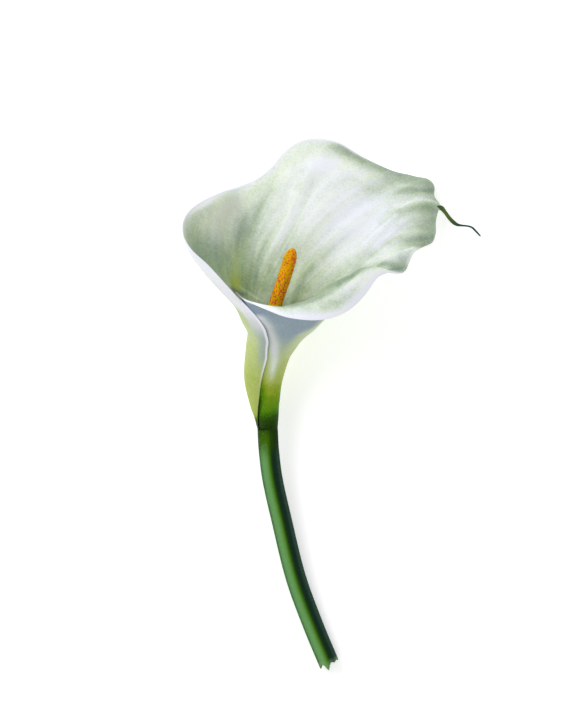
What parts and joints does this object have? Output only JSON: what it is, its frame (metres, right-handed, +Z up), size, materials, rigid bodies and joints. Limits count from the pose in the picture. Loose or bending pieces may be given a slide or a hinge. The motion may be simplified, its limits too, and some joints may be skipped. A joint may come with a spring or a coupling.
{
  "type": "arum lily flower",
  "caption": "Arum lily flower on its cut stalk: one white rolled sheet that flares into a waved mouth with a green tail, round an orange club.",
  "frame": {"origin": "on the surface it lies on, under the middle of its bounding box", "axes": "+X to the right and +Y from the cut end toward the mouth as it is looked down on, +Z up from the surface it lies on"},
  "size_m": [0.1501, 0.2667, 0.0765],
  "materials": {
    "stalk": "smooth, slightly waxy green stalk, lighter on the left, pale pith at the torn end",
    "bract": "soft white with faint grey-green veins, yellow-green to green at the foot of the tube, green tail",
    "club": "rough orange pollen florets with fine red-brown and green specks"
  },
  "bodies": {
    "root": {"scape": "stalk", "spathe": "bract", "spadix": "club"}
  },
  "joints": []
}
